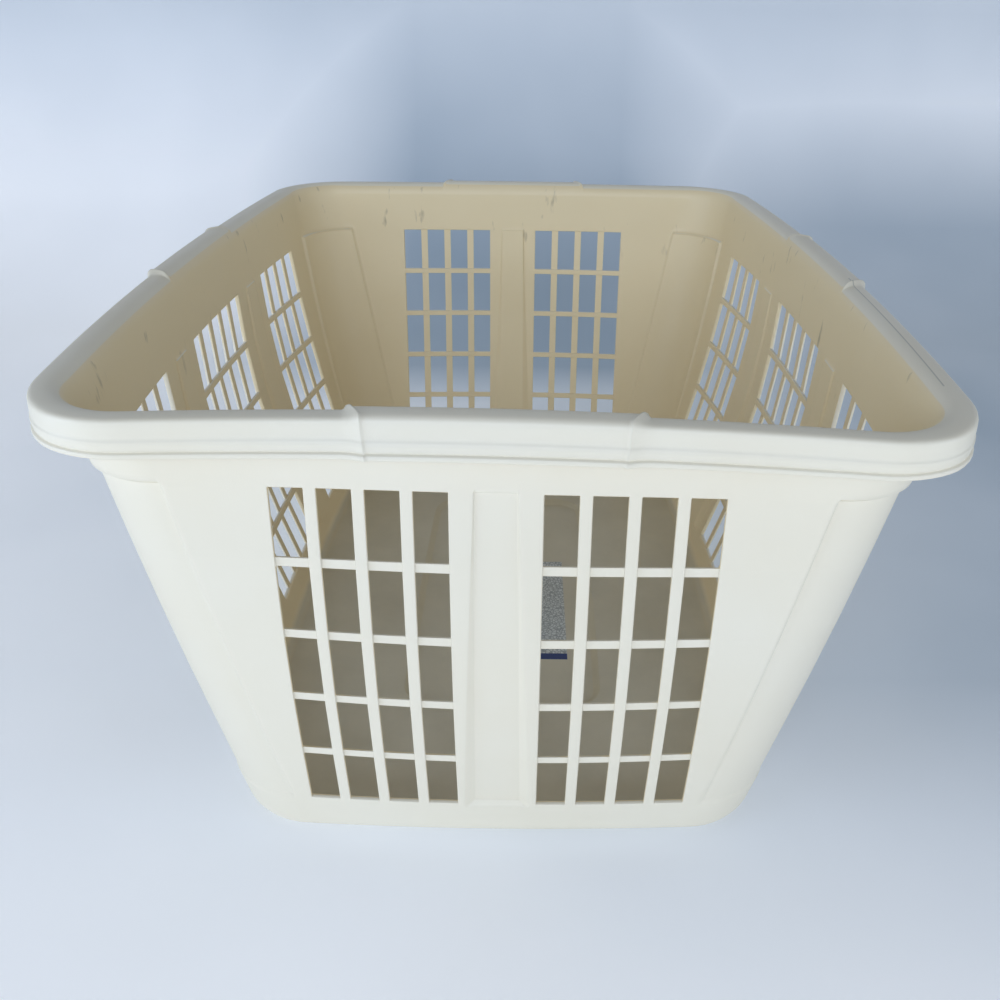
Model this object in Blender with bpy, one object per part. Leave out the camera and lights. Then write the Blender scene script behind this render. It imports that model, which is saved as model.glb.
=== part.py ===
"""Rectangular plastic laundry basket, injection moulded, with grille walls and a rolled rim.

Metres, +Z up. The basket stands on z = 0 with its origin under its middle. X runs across the
short end walls, Y along the long side walls. Every sub-part is laid out on straight walls that
lean outward by the mould's draft, and one function, crowned(), then bows the plan outward a
little, as the sides of such a basket do.
"""
import math

import bmesh
import bpy
from mathutils import Vector

MM = 0.001
GAP = 0.3 * MM                  # clearance between neighbouring solids

# Envelope of the body, measured on the outer faces of the walls
HEIGHT = 262.0 * MM             # top land of the rim
HALF_WIDTH_TOP = 188.0 * MM     # side wall face at the rim, before the crown
HALF_LENGTH_TOP = 250.5 * MM    # end wall face at the rim, before the crown
DRAFT_SIDE = 0.182              # lean of the side walls, run over rise
DRAFT_END = 0.074               # lean of the end walls
CROWN_SIDE = 12.0 * MM          # outward bow in the middle of a side wall
CROWN_END = 5.4 * MM            # outward bow in the middle of an end wall
CORNER = 36.0 * MM              # plan radius of the body's corners
WALL = 2.0 * MM                 # wall thickness
ARC_STEPS = 8                   # segments in a quarter turn

# Base tray: a foot round the edge, a raised field and a sunk middle panel
TRAY_TOP = 12.0 * MM
FOOT_ROUND = 8.0 * MM
FOOT_WIDTH = 5.0 * MM
FIELD_UNDER = 4.2 * MM
FIELD_TOP = 6.4 * MM
COVE = 5.0 * MM
PANEL_HALF_WIDTH = 56.0 * MM
PANEL_HALF_LENGTH = 132.0 * MM
PANEL_CORNER = 16.0 * MM
PANEL_UNDER = 0.6 * MM
PANEL_TOP = 2.8 * MM
PANEL_SLOPE = 4.0 * MM          # run of the sloping edge round the middle panel

# Grilles: vertical bars in the outer half of the wall, level bars in the inner half
GRILLE_TOP = 221.5 * MM
GRILLE_BOTTOM = 28.0 * MM
ROWS = 5
OPENING_WIDTH = 15.1 * MM
COLUMN_PITCH = 20.8 * MM
LEVEL_BAR = 4.5 * MM
CHANNEL_DEPTH = 1.1 * MM        # cut from each face, so that the two cuts meet
END_GRILLES = ((-59.3 * MM, 4), (59.3 * MM, 4))
SIDE_GRILLES = ((-142.0 * MM, 4), (0.0, 5), (142.0 * MM, 4))
SIDE_DROP = 4.0 * MM            # the side grilles sit this much lower than the end ones

# Ribs between the grilles, pressed in from the outside so that they stand out inside
RIB_TOP = (GRILLE_TOP, 8.8 * MM, 1.2 * MM)          # height, half width, step
RIB_BOTTOM = (28.0 * MM, 13.2 * MM, 3.0 * MM)
RIB_END = (24.0 * MM, 14.6 * MM, 0.3 * MM)
RIB_SKIN = 1.9 * MM
END_RIBS = (0.0,)
SIDE_RIBS = (-76.4 * MM, 76.4 * MM)

# Corner posts: a panel sunk below a curved ledge, running out towards the base
POST_LEDGE = GRILLE_TOP
POST_RECESS = 2.4 * MM
POST_START = 26.0 * MM
WALL_TOP = HEIGHT - 8.0 * MM

# Rim: the wall rolls over into a land and turns down as an apron
RIM_REACH = 11.4 * MM           # land, outward from the wall's outer face
RIM_SKIN = 2.1 * MM
RIM_ROUND = 5.0 * MM
APRON = 19.8 * MM
BEAD = 1.0 * MM
GRIP_HALF = 55.0 * MM
GRIP_LIFT = 1.6 * MM

CREAM = (0.80, 0.79, 0.73, 1.0)
CREAM_SHADE = (0.74, 0.73, 0.66, 1.0)


def half_width(z):
    """Outer face of a straight side wall at height z."""
    return HALF_WIDTH_TOP - DRAFT_SIDE * (HEIGHT - z)


def half_length(z):
    """Outer face of a straight end wall at height z."""
    return HALF_LENGTH_TOP - DRAFT_END * (HEIGHT - z)


def crowned(point):
    """Bow the plan outward: full at the middle of each side, nothing at the corners."""
    x, y, z = point
    across = x / half_width(z)
    along = y / half_length(z)
    return Vector((
        x + CROWN_SIDE * across * (1.0 - along * along),
        y + CROWN_END * along * (1.0 - across * across),
        z,
    ))


def clear_scene():
    """Remove every object that a new file starts with."""
    for obj in list(bpy.data.objects):
        bpy.data.objects.remove(obj, do_unlink=True)


def plastic(name, colour, roughness):
    """One moulded polypropylene material."""
    material = bpy.data.materials.new(name)
    material.use_nodes = True
    shader = material.node_tree.nodes["Principled BSDF"]
    shader.inputs["Base Color"].default_value = colour
    shader.inputs["Roughness"].default_value = roughness
    shader.inputs["Metallic"].default_value = 0.0
    return material


def mesh_object(name, bm, collection):
    """Put a bmesh into a new object."""
    mesh = bpy.data.meshes.new(name)
    bm.to_mesh(mesh)
    bm.free()
    obj = bpy.data.objects.new(name, mesh)
    collection.objects.link(obj)
    return obj


def loft(name, rings, collection):
    """Skin a list of rings that have equal point counts, and cap both ends."""
    bm = bmesh.new()
    loops = [[bm.verts.new(point) for point in ring] for ring in rings]
    for lower, upper in zip(loops, loops[1:]):
        for i, vertex in enumerate(lower):
            j = (i + 1) % len(lower)
            bm.faces.new((vertex, lower[j], upper[j], upper[i]))
    bm.faces.new(list(reversed(loops[0])))
    bm.faces.new(loops[-1])
    if bm.calc_volume(signed=True) < 0.0:
        bmesh.ops.reverse_faces(bm, faces=bm.faces)
    return mesh_object(name, bm, collection)


def placed_box(bm, corner_at, low, high):
    """Add a cube whose eight corners are carried from (u, z, depth) by corner_at."""
    cube = bmesh.ops.create_cube(bm, size=2.0)
    for vertex in cube["verts"]:
        pick = [high[i] if vertex.co[i] > 0.0 else low[i] for i in range(3)]
        vertex.co = corner_at(*pick)
    base = corner_at(*low)
    u_edge = corner_at(high[0], low[1], low[2]) - base
    z_edge = corner_at(low[0], high[1], low[2]) - base
    depth_edge = corner_at(low[0], low[1], high[2]) - base
    if u_edge.cross(z_edge).dot(depth_edge) < 0.0:
        faces = [face for face in bm.faces if face.verts[0] in cube["verts"]]
        bmesh.ops.reverse_faces(bm, faces=faces)


def finish(obj, material, collection):
    """Bake the booleans, triangulate, apply the crown and set the shading."""
    graph = bpy.context.evaluated_depsgraph_get()
    mesh = bpy.data.meshes.new_from_object(obj.evaluated_get(graph), depsgraph=graph)
    bm = bmesh.new()
    bm.from_mesh(mesh)
    bmesh.ops.remove_doubles(bm, verts=bm.verts, dist=0.01 * MM)
    bmesh.ops.triangulate(bm, faces=bm.faces)
    for vertex in bm.verts:
        vertex.co = crowned(vertex.co)
    bm.to_mesh(mesh)
    bm.free()
    name = obj.name
    bpy.data.objects.remove(obj, do_unlink=True)
    mesh.name = name
    mesh.materials.clear()
    mesh.materials.append(material)
    mesh.shade_smooth()
    mesh.set_sharp_from_angle(angle=math.radians(32.0))
    baked = bpy.data.objects.new(name, mesh)
    collection.objects.link(baked)
    return baked


def boolean(obj, other, operation):
    """Join or cut obj with another object, with the exact solver."""
    modifier = obj.modifiers.new(operation.title(), "BOOLEAN")
    modifier.operation = operation
    modifier.solver = "EXACT"
    modifier.object = other
    other.hide_render = True
    other.display_type = "WIRE"


def quarter_turn(steps):
    """Unit directions from +X to +Y."""
    angles = [0.5 * math.pi * i / steps for i in range(steps + 1)]
    return [(math.cos(a), math.sin(a)) for a in angles]


def rounded_rectangle(half_x, half_y, radius, z, side_steps=6):
    """Points round a rectangle with round corners, with extra points on its sides."""
    points = []
    signs = ((1, 1), (-1, 1), (-1, -1), (1, -1))
    for turn, (sx, sy) in enumerate(signs):
        arc = []
        for cos_a, sin_a in quarter_turn(ARC_STEPS):
            if turn % 2:
                cos_a, sin_a = sin_a, cos_a
            arc.append(Vector((
                sx * (half_x - radius + radius * cos_a),
                sy * (half_y - radius + radius * sin_a),
                z,
            )))
        if points:
            start = points[-1]
            for i in range(1, side_steps):
                points.append(start.lerp(arc[0], i / side_steps))
        points.extend(arc)
    start, end = points[-1], points[0]
    for i in range(1, side_steps):
        points.append(start.lerp(end, i / side_steps))
    return points


def body_ring(inset, z):
    """Plan outline of the body at height z, moved inward by inset."""
    return rounded_rectangle(
        half_width(z) - inset, half_length(z) - inset, max(CORNER - inset, 2.0 * MM), z)


def panel_ring(outset, z):
    """Plan outline of the sunk middle panel, moved outward by outset."""
    return rounded_rectangle(
        PANEL_HALF_WIDTH + outset, PANEL_HALF_LENGTH + outset, PANEL_CORNER + outset, z)


def base_tray(collection):
    """Floor: sunk middle panel, raised field, rounded foot and a low upturned edge."""
    rings = [
        panel_ring(0.0, PANEL_UNDER),
        panel_ring(PANEL_SLOPE, FIELD_UNDER),
        body_ring(FOOT_ROUND + FOOT_WIDTH + 4.0 * MM, FIELD_UNDER),
        body_ring(FOOT_ROUND + FOOT_WIDTH, 0.0),
    ]
    for cos_a, sin_a in quarter_turn(4):
        rings.append(body_ring(FOOT_ROUND * (1.0 - sin_a), FOOT_ROUND * (1.0 - cos_a)))
    rings.append(body_ring(0.0, TRAY_TOP))
    for cos_a, sin_a in quarter_turn(3):
        rings.append(body_ring(WALL + COVE * (1.0 - cos_a), FIELD_TOP + COVE * (1.0 - sin_a)))
    rings.append(panel_ring(PANEL_SLOPE - 0.6 * MM, FIELD_TOP))
    rings.append(panel_ring(-0.6 * MM, PANEL_TOP))
    return loft("base_tray", rings, collection)


def end_wall_point(side):
    """Map (u, z, depth) to an end wall: u along X, depth inward from the outer face."""
    def point(u, z, depth):
        return Vector((u, side * (half_length(z) - depth), z))
    return point


def side_wall_point(side):
    """Map (u, z, depth) to a side wall: u along Y, depth inward from the outer face."""
    def point(u, z, depth):
        return Vector((side * (half_width(z) - depth), u, z))
    return point


def wall_slab(name, corner_at, half_span, collection):
    """Flat wall between two corner posts; its two upright edges follow half_span(z)."""
    bm = bmesh.new()

    def corner(u, z, depth):
        return corner_at(math.copysign(half_span(z), u), z, depth)

    placed_box(bm, corner, (-1.0, TRAY_TOP + GAP, 0.0), (1.0, WALL_TOP, WALL))
    return mesh_object(name, bm, collection)


def row_heights(drop):
    """Bottom and top of each row of openings, from the top row down."""
    opening = (GRILLE_TOP - GRILLE_BOTTOM - (ROWS - 1) * LEVEL_BAR) / ROWS
    for row in range(ROWS):
        top = GRILLE_TOP - drop - row * (opening + LEVEL_BAR)
        yield top - opening, top


def cut_grilles(wall, corner_at, grilles, drop, cutters):
    """Cut upright channels from the outside and level ones from the inside."""
    outer = bmesh.new()
    inner = bmesh.new()
    reach = 4.0 * MM
    for centre, columns in grilles:
        half = 0.5 * ((columns - 1) * COLUMN_PITCH + OPENING_WIDTH)
        for column in range(columns):
            start = centre - half + column * COLUMN_PITCH
            placed_box(outer, corner_at, (start, GRILLE_BOTTOM - drop, -reach),
                       (start + OPENING_WIDTH, GRILLE_TOP - drop, CHANNEL_DEPTH))
        for bottom, top in row_heights(drop):
            placed_box(inner, corner_at, (centre - half, bottom, WALL - CHANNEL_DEPTH),
                       (centre + half, top, WALL + reach))
    for label, bm in (("columns", outer), ("rows", inner)):
        boolean(wall, mesh_object(wall.name + "_" + label, bm, cutters), "DIFFERENCE")


def tapered_block(bm, corner_at, centre, lower, upper, skin, start):
    """Add a block between two rib stations, each a height, a half width and a step.

    It reaches from the depth given to skin behind the step, and is wider than the rib by skin.
    """
    def corner(u, z, depth):
        _, half, step = lower if z == lower[0] else upper
        return corner_at(centre + u * (half + skin), z, start if depth < 0 else step + skin)

    placed_box(bm, corner, (-1.0, lower[0], -1.0), (1.0, upper[0], 1.0))


def add_ribs(wall, corner_at, centres, cutters):
    """Thicken the wall behind each rib, then press the rib in and slope its lower end."""
    stages = (
        ("ridges", RIB_BOTTOM, RIB_TOP, RIB_SKIN, 0.5 * WALL, "UNION"),
        ("ridge_ends", RIB_END, RIB_BOTTOM, RIB_SKIN, 0.5 * WALL, "UNION"),
        ("grooves", RIB_BOTTOM, RIB_TOP, 0.0, -4.0 * MM, "DIFFERENCE"),
        ("groove_ends", RIB_END, RIB_BOTTOM, 0.0, -4.0 * MM, "DIFFERENCE"),
    )
    for label, lower, upper, skin, start, operation in stages:
        bm = bmesh.new()
        for centre in centres:
            tapered_block(bm, corner_at, centre, lower, upper, skin, start)
        boolean(wall, mesh_object(wall.name + "_" + label, bm, cutters), operation)


def grille_wall(name, corner_at, half_span, grilles, ribs, drop, collection, cutters):
    """One whole wall: slab, ribs and grilles."""
    wall = wall_slab(name, corner_at, half_span, collection)
    add_ribs(wall, corner_at, ribs, cutters)
    cut_grilles(wall, corner_at, grilles, drop, cutters)
    return wall


def end_span(z):
    """Half span of an end wall between its corner posts."""
    return half_width(z) - CORNER - GAP


def side_span(z):
    """Half span of a side wall between its corner posts."""
    return half_length(z) - CORNER - GAP


def post_recess(z):
    """Depth of the post's sunk panel, growing from the base up to the ledge."""
    if z > POST_LEDGE or z < POST_START:
        return 0.0
    return POST_RECESS * (z - POST_START) / (POST_LEDGE - POST_START)


def post_ring(sx, sy, z):
    """Level section of a corner post: a quarter of a tube."""
    sink = post_recess(z)
    centre_x = half_width(z) - CORNER
    centre_y = half_length(z) - CORNER
    outer = [(centre_x + (CORNER - sink) * c, centre_y + (CORNER - sink) * s)
             for c, s in quarter_turn(ARC_STEPS)]
    inner = [(centre_x + (CORNER - WALL - sink) * c, centre_y + (CORNER - WALL - sink) * s)
             for c, s in reversed(quarter_turn(ARC_STEPS))]
    return [Vector((sx * x, sy * y, z)) for x, y in outer + inner]


def corner_post(name, sx, sy, collection):
    """Rounded corner of the body, with its panel sunk below the ledge."""
    ledge = 0.6 * MM
    heights = (TRAY_TOP + GAP, POST_START, 0.5 * (POST_START + POST_LEDGE),
               POST_LEDGE, POST_LEDGE + ledge, WALL_TOP)
    return loft(name, [post_ring(sx, sy, z) for z in heights], collection)


def rim_section(lift, flare):
    """Closed outline of the rolled rim: (outward from the wall face, height over the land)."""
    leg = -1.2 * MM
    reach = RIM_REACH + flare
    low = -(HEIGHT - WALL_TOP) + GAP
    turn = quarter_turn(4)
    outline = [(leg - WALL, low)]
    for cos_a, sin_a in turn:
        outline.append((leg - WALL + 3.0 * MM * (1.0 - cos_a), lift - 3.0 * MM * (1.0 - sin_a)))
    for cos_a, sin_a in reversed(turn):
        outline.append((reach - RIM_ROUND * (1.0 - cos_a),
                        lift - 0.5 * MM - RIM_ROUND * (1.0 - sin_a)))
    outline.append((reach, 2.5 * MM - APRON))
    outline.append((reach + BEAD, 1.5 * MM - APRON))
    outline.append((reach + BEAD, -APRON))
    outline.append((reach - RIM_SKIN, -APRON))
    inner_round = RIM_ROUND - RIM_SKIN
    for cos_a, sin_a in turn:
        outline.append((reach - RIM_SKIN - inner_round * (1.0 - cos_a),
                        lift - 0.5 * MM - RIM_SKIN - inner_round * (1.0 - sin_a)))
    outline.append((leg + 1.0 * MM, lift - RIM_SKIN))
    outline.append((leg, lift - RIM_SKIN - 1.0 * MM))
    outline.append((leg, low))
    return outline


def swept_rim(name, stations, section, collection):
    """Carry the rim section along stations, each a plan point and an outward direction."""
    rings = []
    for (x, y), (nx, ny) in stations:
        rings.append([Vector((x + nx * w, y + ny * w, HEIGHT + dz)) for w, dz in section])
    return loft(name, rings, collection)


def rim_corner(name, sx, sy, collection):
    """Rim from the end of an end grip, round the corner, to the end of a side grip."""
    start = GRIP_HALF + GAP
    arc_x = HALF_WIDTH_TOP - CORNER
    arc_y = HALF_LENGTH_TOP - CORNER
    stations = []
    side_steps = 8
    for i in range(side_steps):
        y = start + (arc_y - start) * i / side_steps
        stations.append(((HALF_WIDTH_TOP, y), (1.0, 0.0)))
    for cos_a, sin_a in quarter_turn(ARC_STEPS):
        stations.append(((arc_x + CORNER * cos_a, arc_y + CORNER * sin_a), (cos_a, sin_a)))
    end_steps = 5
    for i in range(1, end_steps + 1):
        x = arc_x + (start - arc_x) * i / end_steps
        stations.append(((x, HALF_LENGTH_TOP), (0.0, 1.0)))
    mirrored = [((sx * x, sy * y), (sx * nx, sy * ny)) for (x, y), (nx, ny) in stations]
    return swept_rim(name, mirrored, rim_section(0.0, 0.0), collection)


def grip(name, place, collection):
    """Raised hand grip in the middle of one side of the rim."""
    steps = 8
    stations = []
    for i in range(steps + 1):
        u = -GRIP_HALF + 2.0 * GRIP_HALF * i / steps
        stations.append(place(u))
    return swept_rim(name, stations, rim_section(GRIP_LIFT, 0.6 * MM), collection)


def build():
    """Model the whole basket."""
    clear_scene()
    parts = bpy.data.collections.new("laundry_basket")
    cutters = bpy.data.collections.new("laundry_basket_cutters")
    bpy.context.scene.collection.children.link(parts)
    bpy.context.scene.collection.children.link(cutters)
    shell = plastic("moulded_polypropylene", CREAM, 0.42)
    floor = plastic("moulded_polypropylene_floor", CREAM_SHADE, 0.48)

    drafts = [(base_tray(parts), floor)]
    for label, side in (("front", -1), ("back", 1)):
        drafts.append((grille_wall("wall_" + label, end_wall_point(side), end_span,
                                   END_GRILLES, END_RIBS, 0.0, parts, cutters), shell))
    for label, side in (("left", -1), ("right", 1)):
        drafts.append((grille_wall("wall_" + label, side_wall_point(side), side_span,
                                   SIDE_GRILLES, SIDE_RIBS, SIDE_DROP, parts, cutters), shell))
    for y_label, sy in (("front", -1), ("back", 1)):
        for x_label, sx in (("left", -1), ("right", 1)):
            place = y_label + "_" + x_label
            drafts.append((corner_post("post_" + place, sx, sy, parts), shell))
            drafts.append((rim_corner("rim_" + place, sx, sy, parts), shell))
        drafts.append((grip("grip_" + y_label,
                            lambda u, s=sy: ((u, s * HALF_LENGTH_TOP), (0.0, s)), parts), shell))
    for label, sx in (("left", -1), ("right", 1)):
        drafts.append((grip("grip_" + label,
                            lambda u, s=sx: ((s * HALF_WIDTH_TOP, u), (s, 0.0)), parts), shell))

    bpy.context.view_layer.update()
    for obj, material in drafts:
        finish(obj, material, parts)
    for obj in list(cutters.objects):
        bpy.data.objects.remove(obj, do_unlink=True)
    bpy.data.collections.remove(cutters)


build()
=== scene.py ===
"""Looks of a rectangular polypropylene laundry basket, made as one seamless moulding.

The whole basket is a single closed surface over a grid. One direction of the grid runs round
the plan: four walls and four round corners. The other runs along the section: from the middle
of the underside, out over the foot, up the outside, over the rolled rim, down the inside and
back to the middle of the floor. Lengths are metres, +Z up, the front end wall at -Y.
"""
import math

import bmesh
import bpy
import numpy as np
from mathutils import Matrix, Vector


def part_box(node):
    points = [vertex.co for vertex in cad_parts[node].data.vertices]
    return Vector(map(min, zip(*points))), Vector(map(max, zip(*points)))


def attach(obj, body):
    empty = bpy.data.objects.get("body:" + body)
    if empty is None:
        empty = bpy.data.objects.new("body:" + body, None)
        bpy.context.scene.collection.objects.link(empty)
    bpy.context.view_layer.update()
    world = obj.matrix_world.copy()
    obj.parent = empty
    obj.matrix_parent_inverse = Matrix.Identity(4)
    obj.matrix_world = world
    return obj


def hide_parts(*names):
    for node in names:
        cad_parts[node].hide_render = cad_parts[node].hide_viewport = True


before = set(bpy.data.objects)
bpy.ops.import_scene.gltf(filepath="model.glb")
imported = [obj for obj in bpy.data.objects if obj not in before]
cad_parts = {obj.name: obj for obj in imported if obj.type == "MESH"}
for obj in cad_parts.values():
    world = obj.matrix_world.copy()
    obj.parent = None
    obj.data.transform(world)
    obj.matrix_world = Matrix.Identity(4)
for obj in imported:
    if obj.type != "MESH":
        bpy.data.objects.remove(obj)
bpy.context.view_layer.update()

MM = 0.001

# Sizes shared with the solids that this surface stands for
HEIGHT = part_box("rim_front_left")[1][2]
TRAY_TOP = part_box("base_tray")[1][2]
WALL_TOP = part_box("wall_front")[1][2]
GRIP_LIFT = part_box("grip_front")[1][2] - HEIGHT
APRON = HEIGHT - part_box("grip_front")[0][2]
HALF_WIDTH_TOP = 188.0 * MM
HALF_LENGTH_TOP = 250.5 * MM
DRAFT_SIDE = 0.182
DRAFT_END = 0.074
CROWN_SIDE = 12.0 * MM
CROWN_END = 5.4 * MM
CORNER = 36.0 * MM
GRILLE_TOP = 221.5 * MM
GRILLE_BOTTOM = 28.0 * MM
ROWS = 5
LEVEL_BAR = 4.5 * MM
OPENING_WIDTH = 15.1 * MM
COLUMN_PITCH = 20.8 * MM
END_GRILLES = ((-59.3 * MM, 4), (59.3 * MM, 4))
SIDE_GRILLES = ((-142.0 * MM, 4), (0.0, 5), (142.0 * MM, 4))
SIDE_DROP = 4.0 * MM
END_RIBS = (0.0,)
SIDE_RIBS = (-76.4 * MM, 76.4 * MM)
GRIP_HALF = 55.0 * MM
RIM_REACH = 11.4

# What only the surface has
THICK = 2.8 * MM                # wall, so that each layer of bars is half of it
BULGE_SIDE = 12.5 * MM          # outward bow at mid height of a long wall
BULGE_FRONT = 14.0 * MM
BULGE_BACK = 6.0 * MM
FRONT_SPREAD = 20.0 * MM        # how far the front corners have drifted out at the top
FRONT_SKEW = 6.5 * MM           # and how much more so on the right
FRONT_SAG = 2.3 * MM            # the front rim's land hangs this much lower
RIB_TOP_DEPTH = 1.2 * MM        # ribs are pressed in from outside, more towards the base
RIB_DEEPENING = 1.8 * MM
RIB_RUN_OUT_TOP = 28.6 * MM     # height where a rib's depth starts to run out
RIB_RUN_OUT = 3.4 * MM          # and the length it takes
POST_DEPTH = 0.9 * MM           # corner post's sunk face at the base
POST_DEEPENING = 1.7 * MM
EDGE_GROOVE = (0.12, 0.2)       # faint groove beside a post's panel, as shares of a rib's depth
GRIP_SWELL = 1.4 * MM           # how far a grip stands out over the apron
GRIP_HALF_LAND = GRIP_HALF + 6.5 * MM
GRIP_HALF_FOOT = GRIP_HALF - 3.0 * MM
PANEL_HALF = (56.0 * MM, 132.0 * MM)    # the floor's sunk middle panel, in plan
PANEL_CORNER = 16.0 * MM
PANEL_TOP = 2.8                 # heights in the floor, in millimetres
FLOOR_TOP = 6.4
PANEL_UNDER = 0.6
FIELD_UNDER = 4.2
FOOT_RADIUS = 9.0 * MM          # round from the foot up into the walls
INNER_RADIUS = 6.5 * MM
ARC_STEPS = 14
# Lines across one end of a grip: their places, and the share of its lift that each takes
RAMP = (-1.6 * MM, -1.1 * MM, -0.6 * MM, 0.3 * MM, 1.1 * MM, 2.4 * MM)
RAMP_RISE = (0.0, 0.4, 1.4, 1.6, 1.15, 1.0)


def smooth(x):
    """0 below 0, 1 above 1, and 3x^2 - 2x^3 between."""
    x = np.clip(x, 0.0, 1.0)
    return x * x * (3.0 - 2.0 * x)


def half_width(z):
    """Outer face of a straight side wall at height z."""
    return HALF_WIDTH_TOP - DRAFT_SIDE * (HEIGHT - z)


def half_length(z):
    """Outer face of a straight end wall at height z."""
    return HALF_LENGTH_TOP - DRAFT_END * (HEIGHT - z)


# ---- lines that run up the walls -------------------------------------------------------------

class WallLines:
    """Upright grid lines of one wall, in order along it.

    A line stands at a + b * span + c * rib + d * flank, where span is the wall's half span at
    that height, rib the half width of a rib's sunk face and flank the width of its slanted side.
    cut is 1 in a column of openings, block is 1 in a whole grille, pressed is 1 on a rib's sunk
    face, and sunk is the share of the corner post's depth that a line beside it takes.
    """

    def __init__(self, grilles, ribs):
        self.rows = []
        self.opening = []
        edge = None
        self.add(0.5 * MM, -1.0, 0.0, pressed=EDGE_GROOVE[0], sunk=0.65)
        self.add(1.2 * MM, -1.0, 0.0, pressed=EDGE_GROOVE[1])
        self.add(2.6 * MM, -1.0, 0.0)
        for index, (centre, columns) in enumerate(grilles):
            start = centre - 0.5 * ((columns - 1) * COLUMN_PITCH + OPENING_WIDTH)
            if index == 0:
                self.add(0.45 * (start - 0.5 * MM), -0.55, 0.0)
                self.add(0.8 * (start - 0.5 * MM), -0.2, 0.0)
            else:
                self.rib(edge, ribs[index - 1], start)
            for column in range(columns):
                left = start + column * COLUMN_PITCH
                right = left + OPENING_WIDTH
                first = 0.0 if column == 0 else 1.0
                last = 0.0 if column == columns - 1 else 1.0
                self.add(left - 0.55 * MM, 0.0, 0.0, block=first)
                self.add(left - 0.12 * MM, 0.0, 0.0, cut=0.16, block=max(first, 0.16))
                self.opening.append(len(self.rows))
                self.add(left + 0.06 * MM, 0.0, 0.0, cut=1.0, block=1.0)
                self.add(right - 0.06 * MM, 0.0, 0.0, cut=1.0, block=1.0)
                self.add(right + 0.12 * MM, 0.0, 0.0, cut=0.16, block=max(last, 0.16))
                self.add(right + 0.55 * MM, 0.0, 0.0, block=last)
            edge = right
        self.add(0.8 * (edge + 0.5 * MM), 0.2, 0.0)
        self.add(0.45 * (edge + 0.5 * MM), 0.55, 0.0)
        self.add(-2.6 * MM, 1.0, 0.0)
        self.add(-1.2 * MM, 1.0, 0.0, pressed=EDGE_GROOVE[1])
        self.add(-0.5 * MM, 1.0, 0.0, pressed=EDGE_GROOVE[0], sunk=0.65)

    def add(self, a, b, c, d=0.0, cut=0.0, block=0.0, pressed=0.0, sunk=0.0):
        """One line."""
        self.rows.append((a, b, c, d, cut, block, pressed, sunk))

    def rib(self, left, centre, right):
        """Lines over a rib and the plain strips on both sides of it."""
        self.add(0.5 * (left + centre), 0.0, -0.5, -0.5)
        for side in (-1.0, 1.0):
            flank = [(0.7, 1.0, 0.0), (-0.1, 1.0, 0.05), (-0.7, 1.0, 0.13), (0.6, 0.0, 0.9),
                     (0.0, 0.0, 0.97), (-0.8, 0.0, 1.0)]
            for offset, share, pressed in (flank if side < 0.0 else flank[::-1]):
                self.add(centre + side * offset * MM, 0.0, side, side * share, pressed=pressed)
            if side < 0.0:
                self.add(centre, 0.0, 0.0, pressed=1.0)
        self.add(0.5 * (right + centre), 0.0, 0.5, 0.5)

    def rim_places(self, grip_half, span):
        """Places for the same lines on the rim: close together at both ends of the grip."""
        spare = len(self.rows) - 2 * len(RAMP)
        outer = max(3, int(round(spare * (span - grip_half) / (2.0 * span))))
        left = np.linspace(-span, -grip_half + RAMP[0], outer + 2)[1:-1]
        ramp = np.array(RAMP)
        flat = grip_half - RAMP[-1]
        middle = np.linspace(-flat, flat, spare - 2 * outer + 2)[1:-1]
        places = np.concatenate((left, -grip_half + ramp, middle, grip_half - ramp[::-1],
                                 -left[::-1]))
        rise = np.concatenate((np.zeros(outer), RAMP_RISE, np.ones(len(middle)),
                               RAMP_RISE[::-1], np.zeros(outer)))
        return places, rise


# ---- lines that run round the basket ---------------------------------------------------------

RING = {"hx": 0.0, "hy": 0.0, "radius": CORNER, "z": 0.0, "out": 0.0, "side": 0.0, "row": 0.0,
        "grille": 0.0, "rib": 0.0, "post": 0.0, "rim": 0.0, "slant": 0.0, "lift": 0.0, "swell": 0.0}


def ring(**values):
    """One level line of the grid, with the features it takes part in."""
    line = dict(RING)
    line.update(values)
    return line


def wall_ring(z, side, **values):
    """A line on the wall; side is 0 outside and 1 inside."""
    return ring(hx=half_width(z), hy=half_length(z), z=z, out=-THICK * side, side=side, **values)


def body_ring(inset, z, **values):
    """A line on the base, inset from the outline at height z."""
    return ring(hx=half_width(z), hy=half_length(z), z=z, out=-inset, **values)


def panel_ring(outset, z, shrink=1.0):
    """A line on or in the floor's sunk middle panel."""
    half_x, half_y, radius = (size + outset for size in (*PANEL_HALF, PANEL_CORNER))
    return ring(hx=half_x * shrink, hy=half_y * shrink, radius=radius * shrink, z=z)


def down_share(z):
    """0 at the ribs' tops and 1 at their lower ends."""
    return min(max((GRILLE_TOP - z) / (GRILLE_TOP - GRILLE_BOTTOM), 0.0), 1.0)


def rib_end(z):
    """0 up the rib and 1 below it; between them its depth runs out over a short slope."""
    return min(max((RIB_RUN_OUT_TOP - z) / RIB_RUN_OUT, 0.0), 1.0)


def rib_amount(z):
    """How far a rib is pressed in at height z: more towards the base."""
    top = float(smooth((GRILLE_TOP + 1.2 * MM - z) / (1.6 * MM)))
    return (RIB_TOP_DEPTH + RIB_DEEPENING * down_share(z)) * top * (1.0 - rib_end(z))


def rib_half(z):
    """Half width of a rib's sunk face at height z."""
    return (8.9 + 2.7 * down_share(z) + 4.0 * rib_end(z)) * MM


def rib_flank(z):
    """Width of a rib's slanted side at height z, which narrows to a point at its end."""
    return (1.3 + 4.2 * down_share(z) - 4.0 * rib_end(z)) * MM


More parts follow.
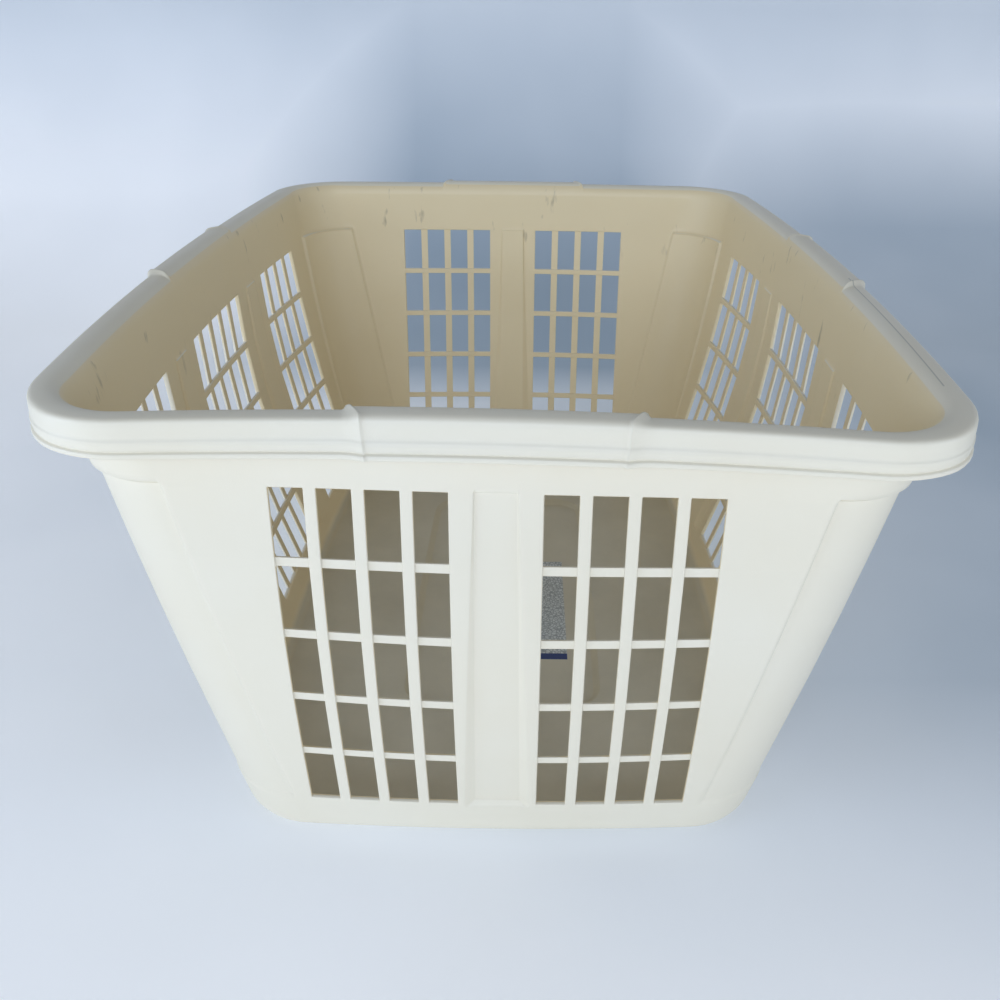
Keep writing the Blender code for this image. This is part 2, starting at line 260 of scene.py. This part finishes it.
def post_amount(z):
    """Depth of the corner post's sunk face: deepest under the ledge at its top."""
    rise = min(max((z - GRILLE_BOTTOM) / (GRILLE_TOP - GRILLE_BOTTOM), 0.0), 1.0)
    under = 1.0 - float(smooth((z - GRILLE_TOP - 0.2 * MM) / (2.4 * MM)))
    return (POST_DEPTH + POST_DEEPENING * rise ** 0.75) * under * (1.0 - rib_end(z))


def row_edges():
    """(bottom, top) of each row of openings, from the base up."""
    opening = (GRILLE_TOP - GRILLE_BOTTOM - (ROWS - 1) * LEVEL_BAR) / ROWS
    return [(GRILLE_BOTTOM + i * (opening + LEVEL_BAR),
             GRILLE_BOTTOM + i * (opening + LEVEL_BAR) + opening) for i in range(ROWS)]


def wall_stack(side):
    """Lines of one face of the walls from the base to under the rim, bottom to top."""
    lines = [wall_ring(z * MM, side) for z in (12.0, 15.0, 18.0, 21.0, 24.0, 25.2, 26.4)]
    first, last = row_edges()[0][0], row_edges()[-1][1]
    for bottom, top in row_edges():
        low = 0.0 if bottom == first else 1.0
        high = 0.0 if top == last else 1.0
        lines.append(wall_ring(bottom - 0.55 * MM, side, grille=low))
        lines.append(wall_ring(bottom - 0.12 * MM, side, row=0.16, grille=max(low, 0.16)))
        lines.append(wall_ring(bottom + 0.06 * MM, side, row=1.0, grille=1.0))
        if bottom == first:
            lines.append(wall_ring(bottom + 0.7 * MM, side, row=1.0, grille=1.0))
        lines.append(wall_ring(top - 0.06 * MM, side, row=1.0, grille=1.0))
        lines.append(wall_ring(top + 0.12 * MM, side, row=0.16, grille=max(high, 0.16)))
        lines.append(wall_ring(top + 0.55 * MM, side, grille=high))
    for z, rim in ((222.9, 0.0), (224.1, 0.0), (227.0, 0.05), (231.5, 0.3), (236.5, 0.6),
                   (241.5, 0.85), (247.0, 0.97)):
        lines.append(wall_ring(z * MM, side, rim=rim))
    for line in lines:
        line["rib"] = rib_amount(line["z"])
        line["post"] = post_amount(line["z"])
    return lines


def rim_stack():
    """Lines of the rolled rim: under it, round the apron, over the land and down the roll.

    Each is (outward from the wall's face, height over the land, share of the grip's swelling
    outward, share of its lift), the first two in millimetres. slant runs from 0 at the roll's
    inner edge over most of its way across the land, and to 1 at the apron's foot, because the
    grip's ends lean together on the way out and down.
    """
    foot = -APRON / MM
    face = RIM_REACH
    points = [
        (-1.3, -8.0, 0, 0), (-1.2, -5.0, 0, 0), (-0.7, -3.5, 0, 0), (0.6, -2.7, 0, 0),
        (3.2, -2.6, 0, 0), (face - 4.9, -2.8, 0, 0.3), (face - 3.4, -3.8, 0.5, 0.2),
        (face - 2.6, -5.6, 0.8, 0), (face - 2.3, -9.0, 1, 0), (face - 2.2, foot + 1.6, 1, 0),
        (face - 2.1, foot + 0.4, 1, 0), (face - 1.6, foot, 1, 0), (face + 0.1, foot, 1, 0),
        (face + 0.7, foot + 0.25, 1, 0), (face + 0.95, foot + 0.8, 1, 0),
        (face + 0.95, foot + 1.9, 1, 0), (face + 0.7, foot + 2.45, 1, 0),
        (face + 0.1, foot + 2.7, 1, 0), (face - 0.25, foot + 3.0, 1, 0),
        (face - 0.25, foot + 3.25, 1, 0), (face + 0.1, foot + 3.5, 1, 0),
        (face + 0.2, foot + 4.2, 1, 0), (face + 0.15, foot + 5.9, 1, 0),
        (face + 0.5, foot + 6.3, 1, 0), (face + 0.5, foot + 9.3, 1, 0),
        (face + 0.1, foot + 9.7, 1, 0),
        (face + 0.05, foot + 11.5, 1, 0), (face, foot + 14.0, 1, 0.25), (face - 0.05, -4.2, 1, 0.6),
        (face - 0.15, -2.6, 0.9, 0.8), (face - 0.5, -1.5, 0.7, 0.9), (face - 1.3, -0.75, 0.4, 1),
        (face - 2.5, -0.4, 0.1, 1), (face - 4.4, -0.2, 0, 1), (5.0, -0.1, 0, 1),
        (3.2, -0.25, 0, 1), (1.6, -0.7, 0, 0.95), (0.2, -1.4, 0, 0.8), (-1.0, -2.4, 0, 0.55),
        (-2.0, -3.7, 0, 0.25), (-2.8, -5.3, 0, 0.08), (-3.4, -7.2, 0, 0), (-3.9, -9.6, 0, 0)]
    lines = []
    for out, height, swell, lift in points:
        slant = 0.79 * min(max(out / (face - 1.0), 0.0), 1.0)
        if out > face - 3.0:
            slant += 0.21 * min(max(-height / 20.0, 0.0), 1.0)
        lines.append(ring(hx=HALF_WIDTH_TOP, hy=HALF_LENGTH_TOP, z=HEIGHT + height * MM,
                          out=out * MM, rim=1.0, slant=slant, swell=swell, lift=lift))
    return lines


def section():
    """The whole section, from the middle of the underside round to the middle of the floor."""
    lines = [panel_ring(0.0, PANEL_UNDER * MM, shrink) for shrink in (0.15, 0.5)]
    lines += [panel_ring(o * MM, z * MM) for o, z in (
        (-4.0, PANEL_UNDER), (-0.3, 0.65), (0.6, 1.2), (3.4, 3.7), (4.4, FIELD_UNDER),
        (12.0, FIELD_UNDER))]
    lines += [body_ring(i * MM, z * MM) for i, z in (
        (17.5, FIELD_UNDER), (16.6, 3.9), (13.8, 0.4), (13.0, 0.05), (12.0, 0.0), (9.2, 0.0))]
    for step in range(1, 7):
        turn = 0.5 * math.pi * step / 6.0
        inset = FOOT_RADIUS * (1.0 - math.sin(turn))
        lines.append(body_ring(inset, FOOT_RADIUS * (1.0 - math.cos(turn))))
    outside = wall_stack(0.0)
    lines += outside
    lines += rim_stack()
    inside = wall_stack(1.0)[::-1]
    lines += inside
    for step in range(1, 6):
        turn = 0.5 * math.pi * step / 5.0
        inset = THICK + INNER_RADIUS * (1.0 - math.cos(turn))
        rise = INNER_RADIUS * (1.0 - math.sin(turn))
        lines.append(body_ring(inset, FLOOR_TOP * MM + rise, side=1.0))
    lines += [body_ring(i * MM, z * MM) for i, z in ((16.0, FLOOR_TOP), (30.0, FLOOR_TOP))]
    lines += [panel_ring(o * MM, z * MM) for o, z in (
        (12.0, FLOOR_TOP), (4.4, 6.35), (3.2, 5.8), (0.6, 3.4), (-0.6, 2.85), (-5.0, PANEL_TOP))]
    lines += [panel_ring(0.0, PANEL_TOP * MM, shrink) for shrink in (0.5, 0.15)]
    first_outside = lines.index(outside[0])
    first_inside = lines.index(inside[-1])
    return lines, first_outside, first_inside


# ---- the surface -----------------------------------------------------------------------------

def crowned(x, y, z):
    """Plan crown as on the solids, a bow widest at mid height, and the front end's drift.

    The drift carries the front corners out in proportion to their height, as the square of the
    place across at the rim and closer to its fourth power below it, plus a skew, and lets the
    front land hang a little.
    """
    across = x / half_width(z)
    along = y / half_length(z)
    wave = np.sin(math.pi * np.clip((z - TRAY_TOP) / (WALL_TOP - TRAY_TOP), 0.0, 1.0))
    end = np.where(y < 0.0, BULGE_FRONT, BULGE_BACK)
    x_bow = (CROWN_SIDE + BULGE_SIDE * wave) * across * (1.0 - along * along)
    y_bow = (CROWN_END + end * wave) * along * (1.0 - across * across)
    front = np.clip(-along, 0.0, 1.0)
    square = 0.3 + 0.7 * smooth((z - GRILLE_TOP) / (24.0 * MM))
    spread = FRONT_SPREAD * across ** 2 * (square + (1.0 - square) * across ** 2)
    drift = front * np.clip(z / HEIGHT, 0.0, 1.0) * (spread + FRONT_SKEW * across)
    sag = FRONT_SAG * front ** 3 * smooth((z - HEIGHT + 17.0 * MM) / (10.0 * MM))
    return x + x_bow, y + y_bow - drift, z - sag


def basket_arrays():
    """Points of the grid as one array, and the cells that stay.

    Round the plan come, for each of the four walls, its upright lines and then the corner's
    arc. A wall point lies at its place along the wall and at the ring's half size plus its
    outward offset across it. A corner point lies on an arc round the corner's centre, whose
    radius is the ring's plus the offset. Offsets add up what the ring and the upright line
    say: rib, post panel, half the thickness where a channel is cut, and the grip's swelling.
    """
    lines, first_outside, first_inside = section()
    data = {key: np.array([line[key] for line in lines]) for key in RING}
    span_x = data["hx"] - data["radius"]
    span_y = data["hy"] - data["radius"]
    half_rib = np.array([rib_half(line["z"]) for line in lines])
    flank = np.array([rib_flank(line["z"]) for line in lines])
    level = data["z"]
    drop = SIDE_DROP * smooth((level - 14.0 * MM) / (8.0 * MM))
    drop = drop * smooth((250.0 * MM - level) / (20.0 * MM))
    columns = []
    openings = []
    count = 0
    for wall in range(4):
        is_end = wall % 2 == 0
        places = WallLines(END_GRILLES if is_end else SIDE_GRILLES,
                           END_RIBS if is_end else SIDE_RIBS)
        rows = np.array(places.rows)
        a, b, c, d, cut, block, pressed, sunk = [rows[:, i][:, None] for i in range(8)]
        top_half = HALF_WIDTH_TOP if is_end else HALF_LENGTH_TOP
        top_span = top_half - CORNER
        across_half = data["hy"] if is_end else data["hx"]
        span = span_x if is_end else span_y
        true_span = (half_width(data["z"]) if is_end else half_length(data["z"])) - CORNER
        at_wall = (a + b * true_span + c * half_rib + d * flank) / true_span
        wide, rise = places.rim_places(GRIP_HALF_LAND, top_span)
        narrow, _ = places.rim_places(GRIP_HALF_FOOT, top_span)
        slant = data["slant"]
        at_rim = (wide[:, None] * (1.0 - slant) + narrow[:, None] * slant) / top_span
        mix = data["rim"]
        share = at_wall * (1.0 - mix) + at_rim * mix
        outside = (data["side"] < 0.5) & (mix < 1.0)
        channel = np.where(outside, -cut * data["grille"], block * data["row"])
        grip = rise[:, None] * mix
        out = (data["out"] - pressed * data["rib"] - sunk * data["post"]
               + 0.5 * THICK * channel + GRIP_SWELL * grip * data["swell"])
        u = share * span
        lower = np.zeros_like(u) if is_end else drop * (1.0 - np.abs(b)) * (mix < 1.0)
        v = across_half + out - DRAFT_SIDE * lower
        z = level - lower + GRIP_LIFT * grip * data["lift"]
        z = np.broadcast_to(z, u.shape)
        if wall == 0:
            x, y = u, -v
        elif wall == 1:
            x, y = v, u
        elif wall == 2:
            x, y = -u, v
        else:
            x, y = -v, -u
        columns.append(np.stack((x, y, z), axis=-1))
        openings += [count + i for i in places.opening]
        count += len(rows)
        theta = np.linspace(0.0, 0.5 * math.pi, ARC_STEPS + 1)[:, None]
        arc = data["radius"] + data["out"] - data["post"]
        straight = (np.sin(theta) * arc, np.cos(theta) * arc)
        if wall == 0:
            x, y = span_x + straight[0], -span_y - straight[1]
        elif wall == 1:
            x, y = span_x + straight[1], span_y + straight[0]
        elif wall == 2:
            x, y = -span_x - straight[0], span_y + straight[1]
        else:
            x, y = -span_x - straight[1], -span_y - straight[0]
        columns.append(np.stack((x, y, np.broadcast_to(data["z"], x.shape)), axis=-1))
        count += ARC_STEPS + 1
    grid = np.concatenate(columns)
    x, y, z = crowned(grid[..., 0], grid[..., 1], grid[..., 2])
    grid = np.stack((x, y, z), axis=-1)
    stack = wall_stack(0.0)
    row_lines = [i for i in range(len(stack) - 1)
                 if stack[i]["row"] == 1.0 and stack[i + 1]["row"] == 1.0]
    return grid, openings, row_lines, len(stack), first_outside, first_inside


def basket_mesh():
    """Index the grid's quads, leave the openings out and join both faces at their edges.

    Where an opening is, the outer and the inner face both lie at the middle of the wall, so
    the inner face takes the outer face's points there and the surface closes on itself.
    """
    grid, openings, row_lines, height, first_outside, first_inside = basket_arrays()
    n_round, n_section = grid.shape[:2]
    index = np.arange(n_round * n_section).reshape(n_round, n_section)
    keep = np.ones((n_round, n_section - 1), dtype=bool)
    for column in openings:
        for row in row_lines:
            keep[column, first_outside + row] = False
            keep[column, first_inside - row - 1] = False
            for i in (column, column + 1):
                for j in (row, row + 1):
                    index[i, first_inside - j] = index[i, first_outside + j]
    following = np.roll(index, -1, axis=0)
    quads = np.stack((index[:, :-1], following[:, :-1], following[:, 1:], index[:, 1:]), axis=-1)
    quads = quads[keep]
    poles = []
    for ring_index, at in ((0, 0), (n_section - 1, 1)):
        poles.append(grid[:, ring_index].mean(axis=0))
        pole = n_round * n_section + at
        a, b = index[:, ring_index], following[:, ring_index]
        fan = np.stack((b, a, np.full_like(a, pole)), axis=-1)
        poles.append(fan if at == 0 else fan[:, ::-1])
    points = np.concatenate((grid.reshape(-1, 3), [poles[0], poles[2]]))
    faces = quads.tolist() + poles[1].tolist() + poles[3].tolist()
    mesh = bpy.data.meshes.new("basket_moulding")
    mesh.from_pydata(points.tolist(), [], faces)
    bm = bmesh.new()
    bm.from_mesh(mesh)
    bmesh.ops.delete(bm, geom=[v for v in bm.verts if not v.link_faces], context="VERTS")
    bmesh.ops.recalc_face_normals(bm, faces=bm.faces)
    bm.to_mesh(mesh)
    bm.free()
    mesh.shade_smooth()
    return mesh


# ---- materials -------------------------------------------------------------------------------

def rgb(code):
    """sRGB hex to a linear RGBA value."""
    parts = [int(code[i:i + 2], 16) / 255.0 for i in (0, 2, 4)]
    lin = [p / 12.92 if p <= 0.04045 else ((p + 0.055) / 1.055) ** 2.4 for p in parts]
    return (lin[0], lin[1], lin[2], 1.0)


def node(tree, kind, inputs=None, **settings):
    """Add a node, set its properties, and fill or link its inputs."""
    made = tree.nodes.new(kind)
    for key, value in settings.items():
        setattr(made, key, value)
    for key, value in (inputs or {}).items():
        if isinstance(value, bpy.types.NodeSocket):
            tree.links.new(value, made.inputs[key])
        else:
            made.inputs[key].default_value = value
    return made


def ramp(tree, value, low, high, bottom=0.0, top=1.0):
    """Straight ramp from bottom at low to top at high, held beyond both."""
    return node(tree, "ShaderNodeMapRange", {"Value": value, "From Min": low, "From Max": high,
                                             "To Min": bottom, "To Max": top}).outputs[0]


def maths(tree, operation, first, second=0.0):
    """One arithmetic step on two values."""
    return node(tree, "ShaderNodeMath", {0: first, 1: second}, operation=operation).outputs[0]


def mixed(tree, share, first, second):
    """Two colours mixed by a share."""
    inputs = {"Fac": share, "Color1": first, "Color2": second}
    return node(tree, "ShaderNodeMixRGB", inputs).outputs[0]


def noise(tree, place, scale, detail, roughness=0.5):
    """Noise between 0 and 1 over a place."""
    return node(tree, "ShaderNodeTexNoise", {"Vector": place, "Scale": scale, "Detail": detail,
                                             "Roughness": roughness}).outputs["Fac"]


def product(tree, first, *others):
    """Several values multiplied together."""
    for other in others:
        first = maths(tree, "MULTIPLY", first, other)
    return first


def inside_box(tree, x, y, low, high, edge):
    """1 inside an upright rectangle in plan, 0 outside, over an edge of the width given."""
    share = 1.0
    for value, start, end in ((x, low[0], high[0]), (y, low[1], high[1])):
        share = product(tree, share, ramp(tree, value, start, start + edge),
                        ramp(tree, value, end, end - edge))
    return share


def moulded_polypropylene():
    """Cream injection-moulded polypropylene, some years old.

    The eye gets a satin sheen broken up by a fine mould texture, a faint waviness of the thin
    walls, slightly warmer clouds where the plastic has aged, painted warm light on the faces
    that look inwards, painted shade in clouds on the floor, short dark scuffs high on the
    inner walls, a hairline on the right rim, and the pale film label stuck to the floor, with
    a dark blue bar.
    """
    material = bpy.data.materials.new("moulded_polypropylene_cream")
    material.use_nodes = True
    tree = material.node_tree
    shader = tree.nodes["Principled BSDF"]
    place = node(tree, "ShaderNodeTexCoord").outputs["Object"]
    split = node(tree, "ShaderNodeSeparateXYZ", {0: place})
    x, y, z = split.outputs["X"], split.outputs["Y"], split.outputs["Z"]
    facing = node(tree, "ShaderNodeNewGeometry").outputs["Normal"]
    outward = node(tree, "ShaderNodeVectorMath", {0: facing, 1: place},
                   operation="DOT_PRODUCT").outputs["Value"]
    upward = ramp(tree, node(tree, "ShaderNodeSeparateXYZ", {0: facing}).outputs["Z"], 0.3, 0.8)

    # Cream in slow clouds, and painted warm light: the faces that look inwards are painted yellower
    clouds = noise(tree, place, 9.0, 4.0, 0.55)
    cream = mixed(tree, clouds, rgb("F0E9D6"), rgb("EBE0C6"))
    inner = ramp(tree, outward, 0.01, -0.02)
    cream = mixed(tree, product(tree, inner, 0.62), cream, rgb("F2D9A2"))

    # Painted shade on the floor: 40 mm clouds broken up by finer specks
    floor_shade_clouds = noise(tree, place, 25.0, 6.0, 0.65)
    floor = product(tree, ramp(tree, z, 0.012, 0.008), upward)
    floor_painted_shade = product(tree, floor, ramp(tree, floor_shade_clouds, 0.2, 0.8, 0.55, 0.9))
    floor_shaded = mixed(tree, floor_painted_shade, cream, rgb("C2BBA4"))

    # Scuffs: streaks about 4 mm wide and three times as long, only on the upper inner walls
    stretch = node(tree, "ShaderNodeMapping", {"Vector": place, "Scale": (90.0, 90.0, 26.0)})
    scuff = noise(tree, stretch.outputs[0], 1.0, 3.0, 0.6)
    high = product(tree, ramp(tree, z, 0.19, 0.225), ramp(tree, outward, -0.02, -0.06))
    streaks = product(tree, ramp(tree, scuff, 0.66, 0.76, 0.0, 0.5), high)
    scuffed = mixed(tree, streaks, floor_shaded, rgb("6E6453"))

    # Hairline 0.5 mm wide on the right rim, which follows the rim's bow
    bow = product(tree, y, y, 0.19)
    beside = maths(tree, "SUBTRACT", maths(tree, "ADD", x, bow), 0.2052)
    near = ramp(tree, maths(tree, "ABSOLUTE", beside), 0.0005, 0.0002)
    hairline = product(tree, near, upward, ramp(tree, z, 0.25, 0.254))
    for start, end in ((-0.226, -0.225), (-0.056, -0.057)):
        hairline = product(tree, hairline, ramp(tree, y, start, end))
    lined = mixed(tree, product(tree, hairline, 0.5), scuffed, rgb("8C8B82"))

    # Label of printed film: 62 mm by 126 mm, a grey squiggle pattern and a bar at its near end
    label = inside_box(tree, x, y, (-0.018, -0.086), (0.044, 0.040), 0.0004)
    squiggle = node(tree, "ShaderNodeTexVoronoi", {"Vector": place, "Scale": 420.0},
                    feature="DISTANCE_TO_EDGE")
    film = mixed(tree, ramp(tree, squiggle.outputs["Distance"], 0.05, 0.16),
                 rgb("8F979B"), rgb("D3D8D8"))
    labelled = mixed(tree, product(tree, label, floor, 0.85), lined, film)
    bar = inside_box(tree, x, y, (-0.018, -0.086), (0.044, -0.079), 0.0004)
    bar = product(tree, bar, floor)
    coloured = mixed(tree, bar, labelled, rgb("14306E"))
    tree.links.new(coloured, shader.inputs["Base Color"])

    sheen = ramp(tree, clouds, 0.0, 1.0, 0.36, 0.50)
    tree.links.new(sheen, shader.inputs["Roughness"])
    grain = noise(tree, place, 1500.0, 2.0, 0.6)
    waves = noise(tree, place, 26.0, 1.5, 0.4)
    fine = node(tree, "ShaderNodeBump", {"Height": grain, "Strength": 0.12, "Distance": 0.0004})
    broad = node(tree, "ShaderNodeBump", {"Height": waves, "Strength": 0.25, "Distance": 0.0012,
                                          "Normal": fine.outputs[0]})
    tree.links.new(broad.outputs[0], shader.inputs["Normal"])
    shader.inputs["IOR"].default_value = 1.49
    shader.inputs["Metallic"].default_value = 0.0
    return material


def cloth_backdrop():
    """Pale blue-grey cloth table that runs up behind: matt, brightest in front, darkest behind.

    Its brightness is painted shade, with a painted shadow behind the basket. It glows a little,
    as a cloth over a bright table does, so the eye gets light from below on the leaning walls
    and only a weak shadow.
    """
    material = bpy.data.materials.new("backdrop_cloth")
    material.use_nodes = True
    tree = material.node_tree
    shader = tree.nodes["Principled BSDF"]
    place = node(tree, "ShaderNodeTexCoord").outputs["Object"]
    split = node(tree, "ShaderNodeSeparateXYZ", {0: place})
    x, y, z = split.outputs["X"], split.outputs["Y"], split.outputs["Z"]
    clouds = noise(tree, place, 2.2, 3.0)
    # Painted shade low down: darker to the right, fading out to the front and up the wall
    across = ramp(tree, x, -0.55, 0.5, 0.2, 1.15)
    front = ramp(tree, y, -0.1, -0.42, 1.0, 0.0)
    shade = product(tree, across, ramp(tree, z, 0.1, 0.4, 1.0, 0.0), front)
    # Painted shadow straight behind the basket, and painted shade high up
    centre = ramp(tree, maths(tree, "ABSOLUTE", x), 0.5, 0.16)
    behind = product(tree, ramp(tree, y, 0.25, 0.5), centre, ramp(tree, z, 0.4, 0.1, 0.8, 1.3))
    shade = maths(tree, "MAXIMUM", shade, behind)
    shade = maths(tree, "MAXIMUM", shade, ramp(tree, z, 0.05, 0.4, 0.0, 0.76))
    shade = maths(tree, "ADD", shade, ramp(tree, clouds, 0.3, 0.7, -0.1, 0.1))
    shade = product(tree, shade, 0.75)
    tone = mixed(tree, shade, rgb("F1F3F6"), rgb("8C9BA9"))
    tree.links.new(tone, shader.inputs["Base Color"])
    tree.links.new(tone, shader.inputs["Emission Color"])
    fibre = noise(tree, place, 700.0, 3.0)
    bump = node(tree, "ShaderNodeBump", {"Height": fibre, "Strength": 0.05, "Distance": 0.0005})
    tree.links.new(bump.outputs[0], shader.inputs["Normal"])
    shader.inputs["Roughness"].default_value = 0.85
    shader.inputs["IOR"].default_value = 1.4
    shader.inputs["Emission Strength"].default_value = 0.34
    return material


# ---- assembly --------------------------------------------------------------------------------

def make_basket():
    """The moulding, in place of every solid."""
    obj = bpy.data.objects.new("basket_moulding", basket_mesh())
    bpy.context.scene.collection.objects.link(obj)
    obj.data.materials.append(moulded_polypropylene())
    weighted = obj.modifiers.new("even_shading", "WEIGHTED_NORMAL")
    weighted.mode = "FACE_AREA"
    weighted.weight = 60
    weighted.keep_sharp = False
    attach(obj, "root")
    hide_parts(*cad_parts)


def make_backdrop():
    """Floor that sweeps up into a wall behind the basket: a profile carried along X."""
    bend = 0.35
    turn = np.linspace(0.0, 0.5 * math.pi, 24)
    y = np.concatenate(([-3.0, -0.6], 0.62 + bend * np.sin(turn), [0.62 + bend]))
    z = np.concatenate(([0.0, 0.0], bend * (1.0 - np.cos(turn)), [2.6]))
    x = np.array([-3.2, 3.2])
    points = np.stack((np.repeat(x, len(y)), np.tile(y, 2), np.tile(z, 2)), axis=-1)
    n = len(y)
    first = np.arange(n - 1)
    quads = np.stack((first, first + n, first + n + 1, first + 1), axis=-1)
    mesh = bpy.data.meshes.new("backdrop")
    mesh.from_pydata(points.tolist(), [], quads.tolist())
    mesh.shade_smooth()
    obj = bpy.data.objects.new("backdrop", mesh)
    bpy.context.scene.collection.objects.link(obj)
    obj.data.materials.append(cloth_backdrop())


def area_light(name, location, target, size, power, colour):
    """A soft rectangular light that looks at a point."""
    light = bpy.data.lights.new(name, "AREA")
    light.shape = "RECTANGLE"
    light.size, light.size_y = size
    light.energy = power
    light.color = rgb(colour)[:3]
    obj = bpy.data.objects.new(name, light)
    bpy.context.scene.collection.objects.link(obj)
    aim = Vector(target) - Vector(location)
    turn = aim.to_track_quat("-Z", "Y").to_matrix().to_4x4()
    obj.matrix_world = Matrix.Translation(location) @ turn


def make_camera():
    """Close in front of one end wall and above the rim, looking down into the basket."""
    pitch, roll, turn = 0.4405, 0.0143, -0.0037
    forward = Vector((0.0, math.cos(pitch), -math.sin(pitch)))
    up = Vector((0.0, math.sin(pitch), math.cos(pitch)))
    right = Vector((1.0, 0.0, 0.0))
    right, up = (math.cos(roll) * right + math.sin(roll) * up,
                 math.cos(roll) * up - math.sin(roll) * right)
    axes = Matrix((right, up, -forward)).transposed().to_4x4()
    camera = bpy.data.cameras.new("camera")
    camera.sensor_width = 36.0
    camera.lens = 34.43
    camera.shift_x = -0.0248
    camera.shift_y = -0.0500
    camera.clip_start = 0.02
    obj = bpy.data.objects.new("camera", camera)
    bpy.context.scene.collection.objects.link(obj)
    place = Matrix.Translation((10.6 * MM, -617.5 * MM, 411.7 * MM))
    obj.matrix_world = place @ Matrix.Rotation(turn, 4, "Z") @ axes
    bpy.context.scene.camera = obj


def make_light():
    """Low soft light from in front and from both sides, over a bright table, in a dim room."""
    area_light("key_front", (-0.3, -3.0, 1.15), (0.0, 0.0, 0.16), (3.0, 1.2), 50.0, "D6E6FF")
    area_light("side_left", (-1.25, -0.75, 0.38), (0.0, 0.0, 0.12), (0.8, 0.7), 7.0, "D2E4FF")
    area_light("side_right", (1.25, -0.75, 0.38), (0.0, 0.0, 0.12), (0.8, 0.7), 4.5, "D2E4FF")
    world = bpy.data.worlds.new("room")
    world.use_nodes = True
    background = world.node_tree.nodes["Background"]
    background.inputs["Color"].default_value = rgb("EEE8DC")
    background.inputs["Strength"].default_value = 0.17
    bpy.context.scene.world = world
    bpy.context.scene.view_settings.view_transform = "Standard"


make_basket()
make_backdrop()
make_light()
make_camera()
bpy.context.view_layer.update()
